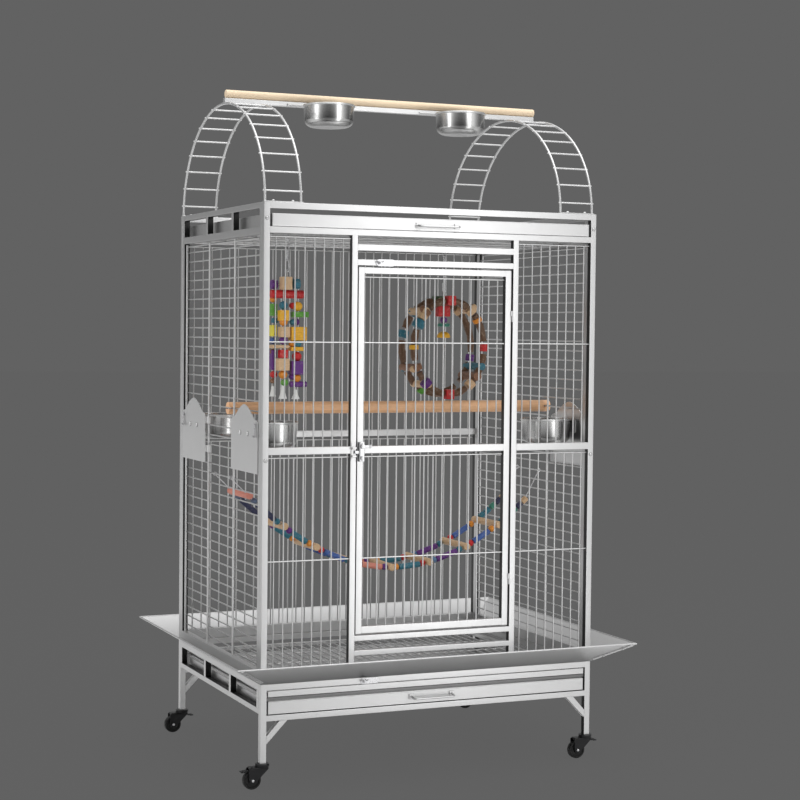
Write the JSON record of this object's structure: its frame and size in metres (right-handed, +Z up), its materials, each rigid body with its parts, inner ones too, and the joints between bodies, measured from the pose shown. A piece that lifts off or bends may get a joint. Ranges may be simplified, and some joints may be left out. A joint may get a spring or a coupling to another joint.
{
  "type": "parrot cage",
  "caption": "Large play-top parrot cage on casters: satin steel barred cage with front door, swing-out bowls, pull-out trays, seed apron, arched ladders, perches and hanging toys.",
  "frame": {"origin": "on the floor, under the middle of the object's box", "axes": "+Z up, the door and drawer fronts face -Y, +X to the right of someone looking at the front"},
  "size_m": [1.086, 0.8674, 1.724],
  "materials": {
    "satin_steel": "satin stainless steel",
    "bright_steel": "polished stainless steel",
    "zinc_fitting": "bright zinc plating",
    "perch_wood": "smooth turned hardwood",
    "toy_wood": "natural and dyed softwood beads and blocks",
    "caster_black": "black moulded nylon",
    "caster_wheel": "black moulded tread"
  },
  "bodies": {
    "cage": {"base_front_frame": "satin_steel", "base_rear_frame": "satin_steel", "base_left_side": "satin_steel", "base_right_side": "satin_steel", "front_panel": "satin_steel", "rear_panel": "satin_steel", "left_panel": "satin_steel", "right_panel": "satin_steel", "roof_grid": "satin_steel", "apron_front": "satin_steel", "apron_rear": "satin_steel", "apron_left": "satin_steel", "apron_right": "satin_steel", "inner_perch": "perch_wood", "ladder_left": "satin_steel", "ladder_right": "satin_steel", "playtop_rail": "satin_steel", "playtop_perch": "perch_wood"},
    "door": {"door": "satin_steel", "door_latch_body": "zinc_fitting"},
    "door_latch_lever": {"door_latch_lever": "zinc_fitting"},
    "door_turn_clip": {"door_turn_clip": "zinc_fitting"},
    "base_turn_clip": {"base_turn_clip": "zinc_fitting"},
    "top_tray": {"top_tray": "satin_steel", "top_tray_handle": "satin_steel"},
    "litter_tray": {"litter_tray": "satin_steel", "litter_tray_handle": "satin_steel"},
    "grate_drawer": {"grate_drawer": "satin_steel"},
    "feeder_door_left_front": {"feeder_plate_left_front": "satin_steel"},
    "feeder_latch_left_front": {"feeder_latch_left_front": "zinc_fitting"},
    "feeder_bowl_left_front": {"feeder_bowl_left_front": "bright_steel"},
    "feeder_door_left_rear": {"feeder_plate_left_rear": "satin_steel"},
    "feeder_latch_left_rear": {"feeder_latch_left_rear": "zinc_fitting"},
    "feeder_bowl_left_rear": {"feeder_bowl_left_rear": "bright_steel"},
    "feeder_door_right_front": {"feeder_plate_right_front": "satin_steel"},
    "feeder_latch_right_front": {"feeder_latch_right_front": "zinc_fitting"},
    "feeder_bowl_right_front": {"feeder_bowl_right_front": "bright_steel"},
    "playtop_bowl_left": {"playtop_bowl_left": "bright_steel"},
    "playtop_bowl_right": {"playtop_bowl_right": "bright_steel"},
    "swivel_front_left": {"caster_fork_front_left": "caster_black"},
    "wheel_front_left": {"caster_wheel_front_left": "caster_wheel"},
    "brake_front_left": {"caster_brake_front_left": "caster_black"},
    "swivel_front_right": {"caster_fork_front_right": "caster_black"},
    "wheel_front_right": {"caster_wheel_front_right": "caster_wheel"},
    "brake_front_right": {"caster_brake_front_right": "caster_black"},
    "swivel_rear_left": {"caster_fork_rear_left": "caster_black"},
    "wheel_rear_left": {"caster_wheel_rear_left": "caster_wheel"},
    "brake_rear_left": {"caster_brake_rear_left": "caster_black"},
    "swivel_rear_right": {"caster_fork_rear_right": "caster_black"},
    "wheel_rear_right": {"caster_wheel_rear_right": "caster_wheel"},
    "brake_rear_right": {"caster_brake_rear_right": "caster_black"},
    "block_toy_chain": {"block_toy_chain": "zinc_fitting"},
    "block_toy": {"block_toy": "toy_wood"},
    "ring_toy_chain": {"ring_toy_chain": "zinc_fitting"},
    "ring_toy": {"ring_toy": "toy_wood"},
    "bead_bridge": {"bead_bridge": "toy_wood"}
  },
  "joints": [
    {"name": "door_hinge", "type": "hinge", "parent": "cage", "child": "door", "pos_m": [0.2128, -0.3447, 0.815], "axis": [0, 0, 1], "range_deg": [0, 110]},
    {"name": "door_latch_turn", "type": "hinge", "parent": "door", "child": "door_latch_lever", "pos_m": [-0.2004, -0.3558, 0.8275], "axis": [0, -1, 0], "range_deg": [0, 90]},
    {"name": "door_clip_turn", "type": "hinge", "parent": "cage", "child": "door_turn_clip", "pos_m": [-0.1545, -0.3433, 1.2785], "axis": [0, 1, 0], "range_deg": [0, 90]},
    {"name": "base_clip_turn", "type": "hinge", "parent": "cage", "child": "base_turn_clip", "pos_m": [-0.186, -0.3433, 0.2453], "axis": [0, -1, 0], "range_deg": [-90, 0]},
    {"name": "top_tray_slide", "type": "slide", "parent": "cage", "child": "top_tray", "axis": [0, -1, 0], "range_m": [0, 0.55]},
    {"name": "litter_tray_slide", "type": "slide", "parent": "cage", "child": "litter_tray", "axis": [0, -1, 0], "range_m": [0, 0.55]},
    {"name": "grate_slide", "type": "slide", "parent": "cage", "child": "grate_drawer", "axis": [0, -1, 0], "range_m": [0, 0.55]},
    {"name": "feeder_hinge_left_front", "type": "hinge", "parent": "cage", "child": "feeder_door_left_front", "pos_m": [-0.4475, -0.105, 0.836], "axis": [0, 0, -1], "range_deg": [0, 90]},
    {"name": "feeder_hinge_left_rear", "type": "hinge", "parent": "cage", "child": "feeder_door_left_rear", "pos_m": [-0.4475, 0.105, 0.836], "axis": [0, 0, 1], "range_deg": [0, 90]},
    {"name": "feeder_hinge_right_front", "type": "hinge", "parent": "cage", "child": "feeder_door_right_front", "pos_m": [0.4475, -0.105, 0.836], "axis": [0, 0, 1], "range_deg": [0, 90]},
    {"name": "feeder_latch_turn_left_front", "type": "hinge", "parent": "feeder_door_left_front", "child": "feeder_latch_left_front", "pos_m": [-0.457, -0.297, 0.881], "axis": [-1, 0, 0], "range_deg": [0, 90]},
    {"name": "feeder_latch_turn_left_rear", "type": "hinge", "parent": "feeder_door_left_rear", "child": "feeder_latch_left_rear", "pos_m": [-0.457, 0.297, 0.881], "axis": [1, 0, 0], "range_deg": [0, 90]},
    {"name": "feeder_latch_turn_right_front", "type": "hinge", "parent": "feeder_door_right_front", "child": "feeder_latch_right_front", "pos_m": [0.457, -0.297, 0.881], "axis": [-1, 0, 0], "range_deg": [0, 90]},
    {"name": "feeder_bowl_lift_left_front", "type": "slide", "parent": "feeder_door_left_front", "child": "feeder_bowl_left_front", "axis": [0, 0, 1], "range_m": [0, 0.02]},
    {"name": "feeder_bowl_lift_left_rear", "type": "slide", "parent": "feeder_door_left_rear", "child": "feeder_bowl_left_rear", "axis": [0, 0, 1], "range_m": [0, 0.02]},
    {"name": "feeder_bowl_lift_right_front", "type": "slide", "parent": "feeder_door_right_front", "child": "feeder_bowl_right_front", "axis": [0, 0, 1], "range_m": [0, 0.02]},
    {"name": "playtop_bowl_lift_left", "type": "slide", "parent": "cage", "child": "playtop_bowl_left", "axis": [0, 0, 1], "range_m": [0, 0.08]},
    {"name": "playtop_bowl_lift_right", "type": "slide", "parent": "cage", "child": "playtop_bowl_right", "axis": [0, 0, 1], "range_m": [0, 0.08]},
    {"name": "swivel_turn_front_left", "type": "hinge", "parent": "cage", "child": "swivel_front_left", "pos_m": [-0.447, -0.335, 0.061], "axis": [0, 0, 1], "continuous": true},
    {"name": "wheel_spin_front_left", "type": "hinge", "parent": "swivel_front_left", "child": "wheel_front_left", "pos_m": [-0.474, -0.335, 0.0225], "axis": [0, 1, 0], "continuous": true},
    {"name": "brake_press_front_left", "type": "hinge", "parent": "swivel_front_left", "child": "brake_front_left", "pos_m": [-0.486, -0.335, 0.0465], "axis": [0, -1, 0], "range_deg": [0, 12]},
    {"name": "swivel_turn_front_right", "type": "hinge", "parent": "cage", "child": "swivel_front_right", "pos_m": [0.447, -0.335, 0.061], "axis": [0, 0, 1], "continuous": true},
    {"name": "wheel_spin_front_right", "type": "hinge", "parent": "swivel_front_right", "child": "wheel_front_right", "pos_m": [0.42, -0.335, 0.0225], "axis": [0, 1, 0], "continuous": true},
    {"name": "brake_press_front_right", "type": "hinge", "parent": "swivel_front_right", "child": "brake_front_right", "pos_m": [0.4625, -0.335, 0.0465], "axis": [0, 1, 0], "range_deg": [0, 12]},
    {"name": "swivel_turn_rear_left", "type": "hinge", "parent": "cage", "child": "swivel_rear_left", "pos_m": [-0.447, 0.335, 0.061], "axis": [0, 0, 1], "continuous": true},
    {"name": "wheel_spin_rear_left", "type": "hinge", "parent": "swivel_rear_left", "child": "wheel_rear_left", "pos_m": [-0.474, 0.335, 0.0225], "axis": [0, 1, 0], "continuous": true},
    {"name": "brake_press_rear_left", "type": "hinge", "parent": "swivel_rear_left", "child": "brake_rear_left", "pos_m": [-0.4315, 0.335, 0.0465], "axis": [0, 1, 0], "range_deg": [0, 12]},
    {"name": "swivel_turn_rear_right", "type": "hinge", "parent": "cage", "child": "swivel_rear_right", "pos_m": [0.447, 0.335, 0.061], "axis": [0, 0, 1], "continuous": true},
    {"name": "wheel_spin_rear_right", "type": "hinge", "parent": "swivel_rear_right", "child": "wheel_rear_right", "pos_m": [0.42, 0.335, 0.0225], "axis": [0, 1, 0], "continuous": true},
    {"name": "brake_press_rear_right", "type": "hinge", "parent": "swivel_rear_right", "child": "brake_rear_right", "pos_m": [0.4625, 0.335, 0.0465], "axis": [0, 1, 0], "range_deg": [0, 12]},
    {"name": "block_toy_swing", "type": "hinge", "parent": "cage", "child": "block_toy_chain", "pos_m": [-0.3429, -0.2, 1.345], "axis": [1, 0, 0], "range_deg": [-5, 5]},
    {"name": "block_toy_rock", "type": "hinge", "parent": "block_toy_chain", "child": "block_toy", "pos_m": [-0.3429, -0.2, 1.2615], "axis": [0, 1, 0], "range_deg": [-5, 5]},
    {"name": "ring_toy_swing", "type": "hinge", "parent": "cage", "child": "ring_toy_chain", "pos_m": [0.1905, 0.02, 1.345], "axis": [1, 0, 0], "range_deg": [-3, 4]},
    {"name": "ring_toy_rock", "type": "hinge", "parent": "ring_toy_chain", "child": "ring_toy", "pos_m": [0.1905, 0.02, 1.2245], "axis": [0, 1, 0], "range_deg": [-6, 6]},
    {"name": "bead_bridge_slide", "type": "slide", "parent": "cage", "child": "bead_bridge", "axis": [0, 1, 0], "range_m": [-0.01, 0.01]}
  ]
}
